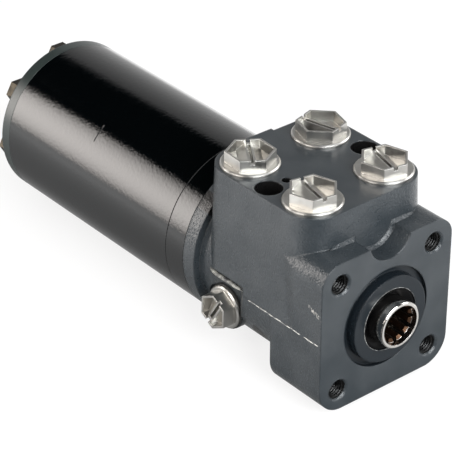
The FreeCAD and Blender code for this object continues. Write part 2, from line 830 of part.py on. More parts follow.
def make_sleeve():
    """Sleeve of the rotary valve, with its spring slots, pin holes and rows of ports."""
    inner = "(spool_radius + running_gap)"
    back = f"({PLATE_FRONT} - sleeve_end_gap)"
    body = turned("sleeve", [
        (inner, "sleeve_start"),
        ("sleeve_radius", "sleeve_start"),
        ("sleeve_radius", "spring_along - ring_width / 2"),
        ("ring_recess", "spring_along - ring_width / 2"),
        ("ring_recess", "spring_along + ring_width / 2"),
        ("sleeve_radius", "spring_along + ring_width / 2"),
        ("sleeve_radius", back),
        (inner, back),
    ])
    pin = round_outline(body, "YZ_Plane", "pin_radius + fixed_gap / 2", "pin_along", "0")
    pocket(body, pin, "3 * sleeve_radius", both_ways=True)
    pocket(body, outline(body, "XY_Plane", slot_corners()), "3 * sleeve_radius", both_ways=True)
    for along, radius in ((GALLERIES[1], "sleeve_port_radius"), (GALLERIES[-1], "sleeve_feed_radius")):
        hole = round_outline(body, "XY_Plane", radius, "0", along)
        repeat_round(body, pocket(body, hole, "2 * sleeve_radius", reverse=True), WHEEL_LOBES)
    return body


def make_spool():
    """Spool with its splined neck, pin slot, spring slot and long control grooves."""
    back = f"{PLATE_FRONT} - sleeve_end_gap"
    body = turned("spool", [
        ("0", "-neck_reach"),
        ("neck_radius_spool - neck_chamfer", "-neck_reach"),
        ("neck_radius_spool", "neck_chamfer - neck_reach"),
        ("neck_radius_spool", "sleeve_start"),
        ("spool_radius", "sleeve_start"),
        ("spool_radius", back),
        ("spool_bore", back),
        ("spool_bore", "spline_end"),
        ("0", "spline_end"),
    ])
    minor = round_outline(body, "XZ_Plane", "spline_minor", offset="neck_reach")
    pocket(body, minor, "neck_reach + spline_end")
    space = outline(body, "XZ_Plane", spline_corners(), offset="neck_reach")
    repeat_round(body, pocket(body, space, "neck_reach + spline_end"), SPLINE_TEETH)
    groove(body, [
        ("0", "-neck_reach"),
        ("spline_major", "-neck_reach"),
        ("spline_major", "spline_lead - neck_reach"),
        ("spline_minor", "spline_lead + spline_lead_taper - neck_reach"),
        ("0", "spline_lead + spline_lead_taper - neck_reach"),
    ])
    pin_slot = box_corners(
        "pin_along - pin_radius - loose_gap", "pin_along + pin_radius + loose_gap",
        "-pin_radius - pin_play", "pin_radius + pin_play",
    )
    pocket(body, outline(body, "YZ_Plane", pin_slot), "3 * sleeve_radius", both_ways=True)
    pocket(body, outline(body, "XY_Plane", slot_corners()), "3 * sleeve_radius", both_ways=True)
    control = box_corners(
        "-spool_groove_width / 2", "spool_groove_width / 2",
        f"{GALLERIES[1]} - gallery_width", f"{GALLERIES[1]} + gallery_width",
    )
    sketch = outline(body, "XY_Plane", control, offset="spool_radius - spool_groove_depth")
    repeat_round(body, pocket(body, sketch, "spool_groove_depth + overcut", reverse=True), WHEEL_LOBES)
    return body


def make_cross_pin():
    length = "2 * (sleeve_radius - loose_gap)"
    pin = rod("pin_radius", length, ("loose_gap - sleeve_radius", "pin_along", "0"), ALONG_X)
    pin.Label = "cross_pin"
    return pin


def make_neutral_springs():
    """Two bowed and two flat leaves that bring the spool back to its middle place."""
    leaves = []
    reach = "(ring_recess - loose_gap)"
    front = "-(spring_along - spring_width / 2)"
    for side in (-1, 1):
        flat = new_body("flat_leaf")
        flat_corners = box_corners(
            f"{side} * leaf_gap", f"{side} * (leaf_gap + leaf_thickness)", f"-{reach}", reach
        )
        pad(flat, outline(flat, "XZ_Plane", flat_corners, front), "spring_width", reverse=True)
        bowed = new_body("bowed_leaf")
        near = f"{side} * (2 * leaf_gap + leaf_thickness)"
        far = f"{side} * (2 * leaf_gap + 2 * leaf_thickness)"
        bow = f"{side} * leaf_bow"
        pad(bowed, outline(bowed, "XZ_Plane", [
            (near, "0"),
            (f"{near} + {bow}", reach),
            (f"{far} + {bow}", reach),
            (far, "0"),
            (f"{far} + {bow}", f"-{reach}"),
            (f"{near} + {bow}", f"-{reach}"),
        ], front), "spring_width", reverse=True)
        leaves += [flat, bowed]
    return group("neutral_springs", leaves)


def make_spring_ring():
    """Ring that closes the spring slots of the sleeve."""
    front = "spring_along - ring_width / 2 + fixed_gap"
    back = "spring_along + ring_width / 2 - fixed_gap"
    section = box_corners("ring_recess + fixed_gap", "sleeve_radius - fixed_gap", front, back)
    return turned("spring_ring", section)


def make_race(label, front, back):
    return turned(label, box_corners("race_bore", "sleeve_radius - loose_gap", front, back))


def bearing_places():
    """Front and rear faces of front race, cage and rear race, with small gaps between them."""
    middle = "((sleeve_start + bearing_start) / 2)"
    return {
        "front": ("bearing_start", "bearing_start + race_thickness"),
        "cage": (f"{middle} - cage_thickness / 2", f"{middle} + cage_thickness / 2"),
        "rear": ("sleeve_start - race_thickness", "sleeve_start"),
        "middle": middle,
    }


def make_cage():
    """Bearing cage with a window for each needle."""
    front, back = bearing_places()["cage"]
    inner = "(race_bore + fixed_gap)"
    outer = "(sleeve_radius - loose_gap - fixed_gap)"
    body = turned("bearing_cage", box_corners(inner, outer, front, back))
    half_width = "(needle_radius + fixed_gap)"
    half_length = "(needle_length / 2 + fixed_gap)"
    middle = f"({inner} + {outer}) / 2"
    window = box_corners(
        f"-{half_width}", half_width, f"{middle} - {half_length}", f"{middle} + {half_length}"
    )
    sketch = outline(body, "XZ_Plane", window, offset=f"-({front})")
    repeat_round(body, pocket(body, sketch, "cage_thickness"), NEEDLES)
    return body


def make_needles():
    needles = []
    middle = bearing_places()["middle"]
    inner = "((race_bore + sleeve_radius - loose_gap) / 2 - needle_length / 2)"
    for k in range(NEEDLES):
        angle = 90 + k * 360 / NEEDLES
        turn = Rotation(Vector(0, 1, 0), 90 - angle)
        needles.append(rod("needle_radius", "needle_length", on_circle(inner, angle, middle), turn))
    return group("bearing_needles", needles)


def make_seals():
    """Dust seal with its sloping lip, and the two-piece shaft seal in its groove."""
    lip_radius = "neck_radius_spool + fixed_gap"
    dust = turned("dust_seal", [
        ("dust_bore - fixed_gap", "dust_rim_sink - spigot_rise"),
        ("dust_bore - fixed_gap", "dust_bore_depth - spigot_rise - fixed_gap"),
        (lip_radius, "dust_bore_depth - spigot_rise - fixed_gap"),
        (lip_radius, "dust_lip_rise - spigot_rise"),
        ("dust_bore - dust_rim_width", "dust_rim_sink - spigot_rise"),
    ])
    front = "seal_groove_start + fixed_gap"
    back = "seal_groove_start + seal_groove_width - fixed_gap"
    split = "(neck_radius_spool + seal_ring_width)"
    ring = turned("shaft_seal_ring", box_corners(lip_radius, split, front, back))
    rubber = turned("shaft_seal_rubber", box_corners(
        f"{split} + fixed_gap", "seal_groove_radius - fixed_gap", front, back
    ))
    return [dust, ring, rubber]


def make_cardan_shaft():
    """Drive shaft: fork at the front around the cross pin, crowned spline at the rear.

    It is modelled about the shaft axis with the cross pin's centre as its pivot, then
    tilted about that pivot so that its spline lies at the gear wheel's centre.
    """
    end = f"({COVER_FRONT} - spacer_thickness - 3 * loose_gap)"
    head = "(spline_major - cardan_spline_gap)"
    start = f"({end} - cardan_spline_length)"
    body = turned("cardan_shaft", [
        ("0", f"pin_along - {CARDAN_NOSE} * pin_radius"),
        ("cardan_head - cardan_head_chamfer", f"pin_along - {CARDAN_NOSE} * pin_radius"),
        ("cardan_head", "pin_along - pin_radius"),
        ("cardan_head", f"pin_along + {CARDAN_SHOULDER} * pin_radius"),
        ("cardan_radius", f"pin_along + {CARDAN_NECK} * pin_radius"),
        ("cardan_radius", f"{start} - cardan_crown"),
        (f"{head} - cardan_crown", start),
        (head, f"{start} + cardan_spline_length * {SPLINE_CROWN_SHARE}"),
        (head, f"{end} - cardan_spline_length * {SPLINE_CROWN_SHARE}"),
        (f"{head} - cardan_crown", end),
        ("0", end),
    ])

    def tooth_side(height):
        """A point of the space's side, half a tooth away from the middle of the tooth beside it."""
        turn = f"{180 / SPLINE_TEETH:.9f} deg"
        across = f"({height} * sin({turn}) - cardan_tooth / 2 * cos({turn}))"
        return across, f"{height} * cos({turn}) + cardan_tooth / 2 * sin({turn})"

    low_across, low = tooth_side("(spline_minor - cardan_spline_gap)")
    high_across, high = tooth_side(f"({head} + overcut)")
    space = outline(body, "XZ_Plane", [
        (f"-{low_across}", low), (low_across, low), (high_across, high), (f"-{high_across}", high),
    ], offset=f"overcut - {start}")
    repeat_round(body, pocket(body, space, "cardan_spline_length + 2 * overcut"), SPLINE_TEETH)
    fork = box_corners(
        f"pin_along - {CARDAN_NECK} * pin_radius", "pin_along + pin_radius + loose_gap",
        "-pin_radius - loose_gap", "pin_radius + loose_gap",
    )
    pocket(body, outline(body, "YZ_Plane", fork), "4 * cardan_head", both_ways=True)
    return body


def cardan_spline_middle():
    """Place along the shaft axis of the middle of the cardan shaft's spline."""
    names = ("housing_length", "plate_thickness", "front_rim_length", "rear_rim_length")
    cover = sum(size(name) for name in names)
    return cover - size("spacer_thickness") - 3 * size("loose_gap") - size("cardan_spline_length") / 2


def tilt_cardan(body):
    """Leans the shaft so that the middle of its spline meets the gear wheel's centre."""
    reach = cardan_spline_middle() - size("pin_along")
    tilt = math.degrees(math.asin(size("orbit_radius") / reach))
    pivot = Vector(0, size("pin_along"), 0)
    body.Placement = Placement(Vector(0, 0, 0), Rotation(Vector(1, 0, 0), -tilt), pivot)


def make_spacer():
    """Loose disc behind the cardan shaft, carried round by the gear wheel."""
    place = ("0", f"{COVER_FRONT} - spacer_thickness - loose_gap", "-orbit_radius")
    disc = rod("spline_minor - loose_gap", "spacer_thickness", place, ALONG_Y)
    disc.Label = "shaft_spacer"
    return disc


def hexagon(flats):
    """Corners of a hexagon with two flats across the second axis."""
    corners = []
    for k in range(6):
        reach = f"({flats}) / sqrt(3)"
        corners.append((f"{reach} * cos({60 * k} deg)", f"{reach} * sin({60 * k} deg)"))
    return corners


def make_plug(label, flange, lip, flats, cup, stud):
    """Transit plug: stud, round flange and a slotted hexagon cup with a ridge inside.

    It is modelled upright on the seat of its flange.
    """
    body = turned(label, [
        ("0", "-plug_stud_length"),
        (f"{stud} - plug_stud_chamfer", "-plug_stud_length"),
        (stud, "plug_stud_chamfer - plug_stud_length"),
        (stud, "0"),
        (flange, "0"),
        (flange, f"{lip} - plug_rim_chamfer"),
        (f"{flange} - plug_rim_chamfer", lip),
        ("0", lip),
    ], "XZ_Plane")
    top = f"({lip} + {cup})"
    floor = f"({lip} + plug_cup_floor)"
    inside = f"({flats} - 2 * plug_wall)"
    ridge_top = f"({top} - plug_slot_depth)"
    pad(body, outline(body, "XY_Plane", hexagon(flats), offset=lip), cup)
    pocket(body, outline(body, "XY_Plane", hexagon(inside), offset=top), f"{cup} - plug_cup_floor")
    pad(body, outline(body, "XZ_Plane", [
        ("-plug_ridge_foot / 2", floor),
        ("plug_ridge_foot / 2", floor),
        ("plug_ridge_top / 2", ridge_top),
        ("-plug_ridge_top / 2", ridge_top),
    ]), inside, both_ways=True)
    wall_slot = box_corners("-plug_slot / 2", "plug_slot / 2", ridge_top, f"{top} + overcut")
    pocket(body, outline(body, "XZ_Plane", wall_slot), "4 * plug_flange_radius", both_ways=True)
    half_slot = f"plug_slot * {RIDGE_SLOT_SHARE}"
    ridge_slot = box_corners(f"-{half_slot}", half_slot, floor, top)
    pocket(body, outline(body, "XZ_Plane", ridge_slot), f"{inside} - plug_wall", both_ways=True)
    return body


def make_port_plugs():
    plugs = []
    for label, (side, along, angle) in PORT_PLUGS.items():
        plug = make_plug(
            label, "plug_flange_radius", "plug_flange_height", "plug_flats", "plug_cup_height",
            "(port_radius - fixed_gap)",
        )
        plugs.append(placed(plug, (side, along, "block_top"), Rotation(Vector(0, 0, 1), angle)))
    return plugs


def make_port_plug_seals():
    middle = "((port_radius + port_seat_radius) / 2)"
    rings = []
    for side, along, angle in PORT_PLUGS.values():
        ring = seal_ring("plug_seal", middle, "port_seal_wire", "0", "XZ_Plane")
        rings.append(placed(ring, (side, along, "block_top - port_seat_depth / 2")))
    return group("port_plug_seals", rings)


def make_side_plug():
    """Plug of the load-sensing port, on its black seal washer."""
    plug = make_plug(
        "side_port_plug", "side_flange_radius", "side_flange_height", "side_flats", "side_cup_height",
        "(side_port_radius - fixed_gap)",
    )
    outwards = Rotation(Vector(0, 1, 0), -90)
    place = (f"-{SIDE_FACE} - side_seal_height", SIDE_PORT_ALONG, "-side_port_below")
    placed(plug, place, outwards.multiply(Rotation(Vector(0, 0, 1), SIDE_PLUG_ANGLE)))
    disc = rod("side_seal_radius", "side_seal_height", place, ALONG_X)
    hole = rod("side_port_radius", "side_seal_height", place, ALONG_X)
    return [plug, cut(disc, hole, "side_port_seal")]


def ball_rest(floor, hole):
    """Height of a ball's centre above the mouth of the round hole that it rests on."""
    return f"({floor} + sqrt(ball_radius * ball_radius - {hole} * {hole}) + fixed_gap)"


def make_check_valve():
    """Ball valve at the foot of the pump port: a screwed bush over a loose ball."""
    bush_foot = "block_top - port_depth - check_bush_length"
    tube = rod("check_radius - fixed_gap", "check_bush_length", (PORT_SIDE, PORT_BACK, bush_foot))
    hole = rod("seat_hole_radius", "check_bush_length", (PORT_SIDE, PORT_BACK, bush_foot))
    middle = (PORT_SIDE, PORT_BACK, ball_rest("check_floor", "passage_radius"))
    return [cut(tube, hole, "check_valve_bush"), ball("check_valve_ball", "ball_radius", middle)]


def make_shock_spring(side, foot, head):
    """Coil spring between a ball and its setting screw, its wire drawn with six sides."""
    start = f"({foot} + shock_spring_wire)"
    height = f"({head} - {foot} - 2 * shock_spring_wire)"
    path = doc.addObject("Part::Helix", "spring_path")
    tie(path, Radius="shock_spring_radius", Height=height, Pitch=f"{height} / shock_spring_turns")
    placed(path, (side, "shock_along", start))
    wire = doc.addObject("Part::RegularPolygon", "spring_wire")
    wire.Polygon = 6
    tie(wire, Circumradius="shock_spring_wire")
    placed(wire, (f"{side} + shock_spring_radius", "shock_along", start), Rotation(Vector(1, 0, 0), 90))
    coil = doc.addObject("Part::Sweep", "spring_coil")
    coil.Sections = [wire]
    coil.Spine = (path, [])
    coil.Solid = True
    coil.Frenet = True
    return coil


def make_shock_valves():
    """Two relief valves: ball, spring and a setting screw with a hexagon socket."""
    screws = []
    springs = []
    balls = []
    screw_foot = "(shock_screw_top - shock_screw_length)"
    rest = ball_rest("shock_floor", "seat_hole_radius")
    for label, side in (("shock_valve_ball_left", f"-{SHOCK_SIDE}"), ("shock_valve_ball_right", SHOCK_SIDE)):
        body = rod("shock_radius - fixed_gap", "shock_screw_length", (side, "shock_along", screw_foot))
        socket_foot = (side, "shock_along", "shock_screw_top - shock_hex_depth")
        socket = prism("shock_hex", "shock_hex_depth", socket_foot)
        screws.append(cut(body, socket))
        spring_foot = f"({rest} + {SPRING_FOOT_SHARE} * ball_radius)"
        springs.append(make_shock_spring(side, spring_foot, screw_foot))
        balls.append(ball(label, "ball_radius", (side, "shock_along", rest)))
    return [group("shock_valve_screws", screws), group("shock_valve_springs", springs)] + balls


def make_pieces():
    """Every separate piece of the object, in the order of taking it apart from the rear."""
    places = bearing_places()
    pieces = [make_screws(), make_washers(), make_end_cover()]
    pieces += [
        make_rim("gear_rim_rear", RIM_JOINT, COVER_FRONT, "rear_rim_length"),
        make_rim("gear_rim_front", RIM_FRONT, RIM_JOINT, "front_rim_length"),
        make_distributor_plate(),
    ]
    pieces += make_orings()
    pieces += [make_gear_wheel(), make_spacer(), make_cardan_shaft()]
    pieces += [make_sleeve(), make_spool(), make_cross_pin(), make_neutral_springs(), make_spring_ring()]
    pieces += [
        make_race("bearing_race_front", *places["front"]),
        make_cage(),
        make_needles(),
        make_race("bearing_race_rear", *places["rear"]),
    ]
    pieces += make_seals()
    pieces += make_port_plugs()
    pieces.append(make_port_plug_seals())
    pieces += make_side_plug()
    pieces += make_check_valve()
    pieces += make_shock_valves()
    pieces.append(make_housing())
    return pieces


pieces = make_pieces()
doc.recompute()
tilt_cardan(next(piece for piece in pieces if piece.Label == "cardan_shaft"))
doc.recompute()
faults = [item.Label for item in doc.Objects if "Invalid" in item.State or "Error" in item.State]
for piece in pieces:
    if piece.Shape.isNull() or not piece.Shape.isValid():
        faults.append(piece.Label)
if faults:
    raise RuntimeError("These objects failed: " + ", ".join(faults))
os.makedirs("parts", exist_ok=True)
for piece in pieces:
    piece.Shape.exportStep(f"parts/{piece.Label}.step")
    box = piece.Shape.BoundBox
    sides = f"{box.XLength:.2f} x {box.YLength:.2f} x {box.ZLength:.2f}"
    print(f"{piece.Label}: {len(piece.Shape.Solids)} solids, {sides}")
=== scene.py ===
import json
import math

import bmesh
import bpy
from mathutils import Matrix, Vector


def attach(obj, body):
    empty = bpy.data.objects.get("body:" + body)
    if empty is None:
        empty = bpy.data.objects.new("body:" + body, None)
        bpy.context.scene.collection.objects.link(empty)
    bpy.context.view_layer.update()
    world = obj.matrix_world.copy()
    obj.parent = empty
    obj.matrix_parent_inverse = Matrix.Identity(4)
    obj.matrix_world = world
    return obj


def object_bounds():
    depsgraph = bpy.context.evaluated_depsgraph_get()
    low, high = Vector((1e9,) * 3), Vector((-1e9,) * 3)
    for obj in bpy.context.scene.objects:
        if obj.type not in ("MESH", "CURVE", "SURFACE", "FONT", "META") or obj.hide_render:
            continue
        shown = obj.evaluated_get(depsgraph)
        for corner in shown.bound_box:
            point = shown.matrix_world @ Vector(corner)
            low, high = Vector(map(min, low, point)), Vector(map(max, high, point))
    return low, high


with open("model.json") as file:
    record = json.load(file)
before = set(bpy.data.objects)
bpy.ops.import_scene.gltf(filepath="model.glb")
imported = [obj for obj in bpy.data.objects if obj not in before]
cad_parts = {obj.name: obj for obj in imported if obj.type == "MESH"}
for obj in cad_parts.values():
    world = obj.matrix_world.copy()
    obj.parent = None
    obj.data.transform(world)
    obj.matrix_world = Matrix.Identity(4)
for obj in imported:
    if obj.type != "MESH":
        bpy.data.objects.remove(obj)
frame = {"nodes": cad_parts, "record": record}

cad_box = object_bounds()
nodes = frame["nodes"]
MM = 0.001

# Places and sizes on the object that finishes and small details follow, in metres
TOP_FACE = 58.2 * MM
PLATE_TOP = 41.0 * MM
PLATE_SIDE = 40.8 * MM
BLOCK_FRONT = 12.2 * MM
BLOCK_BACK = 91.0 * MM
BLOCK_ROUND = 16.2 * MM
NOTCH_SIDE = 1.2 * MM
NOTCH_RADIUS = 13.3 * MM
NOTCH_HEIGHT = 44.85 * MM
COLUMN_HOLE = 5.0 * MM
COLUMN_PITCH = 58.34 * MM
COLUMN_FACE_DEPTH = 3.5 * MM
SPIGOT_GROOVE = 26.2 * MM
SPIGOT_RISE = 2.9 * MM
SPIGOT_DEPTH = 3.0 * MM
DUST_BORE = 16.26 * MM
SPLINE_TIPS = 10.1 * MM
GEAR_SET_JOINTS = (99.1 * MM, 112.8 * MM)
RIM_JOINT = 183.2 * MM

# Bores in the top face: place across, place along, radius
VALVE_BORES = (
    (30.0 * MM, 50.5 * MM, 6.95 * MM),
    (-30.0 * MM, 50.5 * MM, 6.95 * MM),
    (-18.9 * MM, 50.8 * MM, 2.6 * MM),
)

# Marks of making and wear
CRACK_HEIGHT = 30.0 * MM
SCRATCH_HEIGHT = 15.0 * MM
SCRATCH_SLANT = 0.35
SCRATCH_END = 9.0 * MM
PARTING_HEIGHT = -0.35 * MM
PARTING_RUNS = ((1.9 * MM, 11.5 * MM), (14.5 * MM, 52.0 * MM))
RECESS_EDGE_RUN = (56.0 * MM, 86.0 * MM)
RECESS_EDGE_HEIGHT = 2.4 * MM

# Threads of the column holes
THREAD_PITCH = 1.5 * MM
THREAD_DEPTH = 0.8 * MM
THREAD_START = 0.6 * MM
THREAD_LENGTH = 16.0 * MM
THREAD_STEPS = 28

# The photograph's camera, found by fitting it to the measured edges
CAMERA_PLACE = (-0.60622, -0.62114, 0.58037)
CAMERA_TURN = math.radians(39.345)
CAMERA_DROP = math.radians(31.534)
FOCAL_PIXELS = 2218.38
IMAGE_WIDTH = 452
FILM_WIDTH = 36.0

# The studio
AMBIENT = 0.4
WALL_LIGHT = 0.78
WHITE = (1.0, 1.0, 1.0)
WARM = (1.0, 0.95, 0.91)
COOL = (0.95, 0.98, 1.0)
TABLE_DROP = 0.4 * MM
TABLE_REACH = 4.0
TABLE_EDGE = 0.48
TABLE_EDGE_TURN = math.radians(171)


class Nodes:
    """Short calls for building a node tree."""

    def __init__(self, tree):
        self.tree = tree

    def add(self, kind, **settings):
        node = self.tree.nodes.new(kind)
        for name, value in settings.items():
            setattr(node, name, value)
        return node

    def feed(self, source, socket):
        """Links an output to a socket, or sets a plain value on it."""
        if isinstance(source, bpy.types.NodeSocket):
            self.tree.links.new(source, socket)
        else:
            socket.default_value = source

    def maths(self, operation, first, second=0.0):
        node = self.add("ShaderNodeMath", operation=operation)
        self.feed(first, node.inputs[0])
        self.feed(second, node.inputs[1])
        return node.outputs[0]

    def times(self, first, second):
        return self.maths("MULTIPLY", first, second)

    def plus(self, first, second):
        return self.maths("ADD", first, second)

    def larger(self, first, second):
        return self.maths("MAXIMUM", first, second)

    def smaller(self, first, second):
        return self.maths("MINIMUM", first, second)

    def above(self, value, limit):
        return self.maths("GREATER_THAN", value, limit)

    def below(self, value, limit):
        return self.maths("LESS_THAN", value, limit)

    def apart(self, first, second):
        return self.maths("ABSOLUTE", self.maths("SUBTRACT", first, second))

    def between(self, value, low, high, out_low=0.0, out_high=1.0):
        """A value mapped from one range to another and held inside it."""
        node = self.add("ShaderNodeMapRange")
        self.feed(value, node.inputs["Value"])
        node.inputs["From Min"].default_value = low
        node.inputs["From Max"].default_value = high
        node.inputs["To Min"].default_value = out_low
        node.inputs["To Max"].default_value = out_high
        return node.outputs["Result"]

    def axis_of(self, vector, axis):
        node = self.add("ShaderNodeSeparateXYZ")
        self.feed(vector, node.inputs[0])
        return node.outputs[axis]

    def ray(self, kind):
        return self.add("ShaderNodeLightPath").outputs[f"Is {kind} Ray"]


class Finish(Nodes):
    """A material of the object, whose patterns lie in the object's own coordinates."""

    def __init__(self, name, metallic=0.0):
        self.material = bpy.data.materials.new(name)
        self.material.use_nodes = True
        super().__init__(self.material.node_tree)
        self.shader = self.tree.nodes["Principled BSDF"]
        self.shader.inputs["Metallic"].default_value = metallic
        self.place = self.add("ShaderNodeTexCoord").outputs["Object"]

    def set(self, name, source):
        self.feed(source, self.shader.inputs[name])

    def at(self, axis):
        return self.axis_of(self.place, axis)

    def facing(self, axis):
        return self.axis_of(self.add("ShaderNodeTexCoord").outputs["Normal"], axis)

    def stretched(self, scale):
        """Coordinates scaled apart along each axis."""
        node = self.add("ShaderNodeMapping")
        self.feed(self.place, node.inputs["Vector"])
        node.inputs["Scale"].default_value = scale
        return node.outputs["Vector"]

    def noise(self, scale, detail=3.0, where=None, rough=0.5):
        node = self.add("ShaderNodeTexNoise")
        self.feed(where or self.place, node.inputs["Vector"])
        node.inputs["Scale"].default_value = scale
        node.inputs["Detail"].default_value = detail
        node.inputs["Roughness"].default_value = rough
        return node.outputs["Fac"]

    def cells(self, scale):
        node = self.add("ShaderNodeTexVoronoi")
        self.feed(self.place, node.inputs["Vector"])
        node.inputs["Scale"].default_value = scale
        return node.outputs["Distance"]

    def turned_marks(self):
        """Fine marks that run round the shaft axis."""
        return self.noise(1.0, 3.0, self.stretched((300.0, 5200.0, 300.0)))

    def mixed(self, factor, first, second):
        """A colour between two colours; plain ones are given as red, green and blue."""
        node = self.add("ShaderNodeMix", data_type="RGBA")
        self.feed(factor, node.inputs["Factor"])
        for socket, color in ((node.inputs["A"], first), (node.inputs["B"], second)):
            self.feed((*color, 1.0) if isinstance(color, tuple) else color, socket)
        return node.outputs["Result"]

    def bump(self, height, depth, strength=1.0, onto=None):
        node = self.add("ShaderNodeBump")
        self.feed(height, node.inputs["Height"])
        node.inputs["Distance"].default_value = depth
        self.feed(strength, node.inputs["Strength"])
        if onto is not None:
            self.feed(onto, node.inputs["Normal"])
        return node.outputs["Normal"]

    def softened(self, radius):
        """Normals rounded over sharp edges, as deburred metal and thick paint are."""
        node = self.add("ShaderNodeBevel", samples=4)
        node.inputs["Radius"].default_value = radius
        return node.outputs["Normal"]

    def distance(self, first, second):
        """Distance from two offsets that are square to each other."""
        squares = self.plus(self.times(first, first), self.times(second, second))
        return self.maths("SQRT", squares)

    def from_shaft_axis(self):
        return self.distance(self.at("X"), self.at("Z"))

    def in_column_hole(self):
        """1 inside the four threaded holes of the column face."""
        offsets = []
        for axis in ("X", "Z"):
            from_middle = self.maths("ABSOLUTE", self.at(axis))
            offsets.append(self.maths("SUBTRACT", from_middle, COLUMN_PITCH / 2))
        near = self.below(self.distance(*offsets), COLUMN_HOLE + 0.1 * MM)
        return self.times(near, self.above(self.at("Y"), 1.1 * MM))

    def in_valve_bore(self):
        """1 below the mouths of the bores in the top face, between the ports."""
        inside = 0.0
        for across, along, radius in VALVE_BORES:
            beside = self.maths("SUBTRACT", self.at("X"), across)
            ahead = self.maths("SUBTRACT", self.at("Y"), along)
            inside = self.larger(inside, self.below(self.distance(beside, ahead), radius))
        return self.times(inside, self.below(self.at("Z"), TOP_FACE - 0.4 * MM))

    def on_machined_face(self):
        """1 on the top face and on the column face."""
        top = self.times(self.above(self.at("Z"), TOP_FACE - 0.8 * MM), self.above(self.facing("Z"), 0.9))
        front = self.times(self.below(self.at("Y"), COLUMN_FACE_DEPTH), self.below(self.facing("Y"), -0.9))
        return self.larger(top, front)

    def on_spigot(self):
        """1 on the round spigot and in the groove round it."""
        return self.times(self.below(self.from_shaft_axis(), SPIGOT_GROOVE),
                          self.below(self.at("Y"), SPIGOT_DEPTH))

    def on_scratches(self):
        """1 on a few short scratches of the left side, close to the column face."""
        line = self.plus(self.times(self.at("Y"), SCRATCH_SLANT), SCRATCH_HEIGHT)
        spot = self.between(self.apart(self.at("Z"), line), 0.7 * MM, 1.3 * MM, 1.0, 0.0)
        half_fade = 0.5 * MM
        end = self.between(self.at("Y"), SCRATCH_END - half_fade, SCRATCH_END + half_fade, 1.0, 0.0)
        side = self.below(self.at("X"), 0.2 * MM - PLATE_SIDE)
        marks = self.noise(1.0, 2.0, self.stretched((100.0, 1100.0, 500.0)))
        return self.times(self.times(self.times(spot, end), side), self.between(marks, 0.52, 0.58))

    def clear_of_seams(self):
        """0 in the seams of the gear set, 1 elsewhere. The joint of the rims shows only as a
        short crack on the left."""
        clear = 1.0
        for joint in GEAR_SET_JOINTS:
            clear = self.smaller(self.between(self.apart(self.at("Y"), joint), 0.08 * MM, 0.3 * MM), clear)
        beside = self.between(self.apart(self.at("Y"), RIM_JOINT), 0.1 * MM, 0.4 * MM)
        beyond = self.between(self.apart(self.at("Z"), CRACK_HEIGHT), 2.2 * MM, 3.5 * MM)
        right = self.above(self.at("X"), 0.0)
        return self.smaller(clear, self.larger(self.larger(beside, beyond), right))


def cast_paint():
    """Dark blue-grey paint: grainy over the cast skin, smooth over the machined faces."""
    finish = Finish("cast_paint")
    cast = finish.maths("SUBTRACT", 1.0, finish.on_machined_face())
    grain = finish.noise(900.0, 4.0, rough=0.6)
    pits = finish.between(finish.cells(700.0), 0.0, 0.55)
    skin = finish.plus(finish.times(grain, 0.7), finish.times(pits, 0.5))
    waves = finish.bump(finish.noise(120.0, 2.0), 0.8 * MM, finish.between(cast, 0.0, 1.0, 0.0, 0.5),
                        finish.softened(1.2 * MM))
    skin_strength = finish.between(cast, 0.0, 1.0, 0.02, 0.45)
    finish.set("Normal", finish.bump(skin, 0.45 * MM, skin_strength, waves))

    tone = finish.between(finish.noise(60.0, 3.0), 0.35, 0.65)
    paint = finish.mixed(tone, (0.018, 0.023, 0.027), (0.028, 0.033, 0.037))
    # Painted shade: the column holes and the valve bores are painted near black, as shade falls inside
    # them.
    painted_hole_shade = finish.larger(finish.in_column_hole(), finish.in_valve_bore())
    paint = finish.mixed(painted_hole_shade, paint, (0.005, 0.005, 0.005))
    paint = finish.mixed(finish.on_scratches(), paint, (0.3, 0.29, 0.27))
    # The spigot and the groove round it are painted darker than the rest; in the groove this is painted
    # shade.
    finish.set("Base Color", finish.mixed(finish.on_spigot(), paint, (0.007, 0.010, 0.013)))

    dulled = finish.larger(finish.on_spigot(), finish.in_valve_bore())
    finish.set("Specular IOR Level", finish.between(dulled, 0.0, 1.0, 0.5, 0.28))
    uneven = finish.between(finish.noise(350.0, 3.0), 0.3, 0.7, -0.04, 0.06)
    finish.set("Roughness", finish.plus(finish.times(uneven, cast), 0.29))
    return finish.material


def gloss_black():
    """Gloss black paint over turned steel, whose fine rings show through. The joints of the
    distributor plate stay dark."""
    finish = Finish("gloss_black")
    finish.set("Base Color", (0.0006, 0.001, 0.0012, 1.0))
    rings = finish.noise(1.0, 2.0, finish.stretched((40.0, 2600.0, 40.0)))
    drops = finish.noise(650.0, 2.0)
    fine = finish.plus(finish.times(rings, 0.2), finish.times(drops, 0.8))
    clear = finish.clear_of_seams()
    finish.set("Normal", finish.bump(clear, 0.3 * MM, 0.7, finish.bump(fine, 0.16 * MM, 0.45)))
    finish.set("Specular IOR Level", finish.between(clear, 0.0, 1.0, 0.08, 0.5))
    finish.set("Roughness", finish.between(finish.noise(180.0, 3.0), 0.3, 0.7, 0.05, 0.09))
    return finish.material


def satin_cover():
    """Satin grey-green of the end cover, duller than the gear set beside it."""
    finish = Finish("satin_cover")
    finish.set("Roughness", 0.28)
    finish.set("Specular IOR Level", 0.45)
    tone = finish.noise(300.0, 3.0)
    finish.set("Base Color", finish.mixed(tone, (0.012, 0.017, 0.017), (0.02, 0.028, 0.026)))
    finish.set("Normal", finish.bump(finish.noise(1400.0), 0.08 * MM, 0.2, finish.softened(1.2 * MM)))
    return finish.material


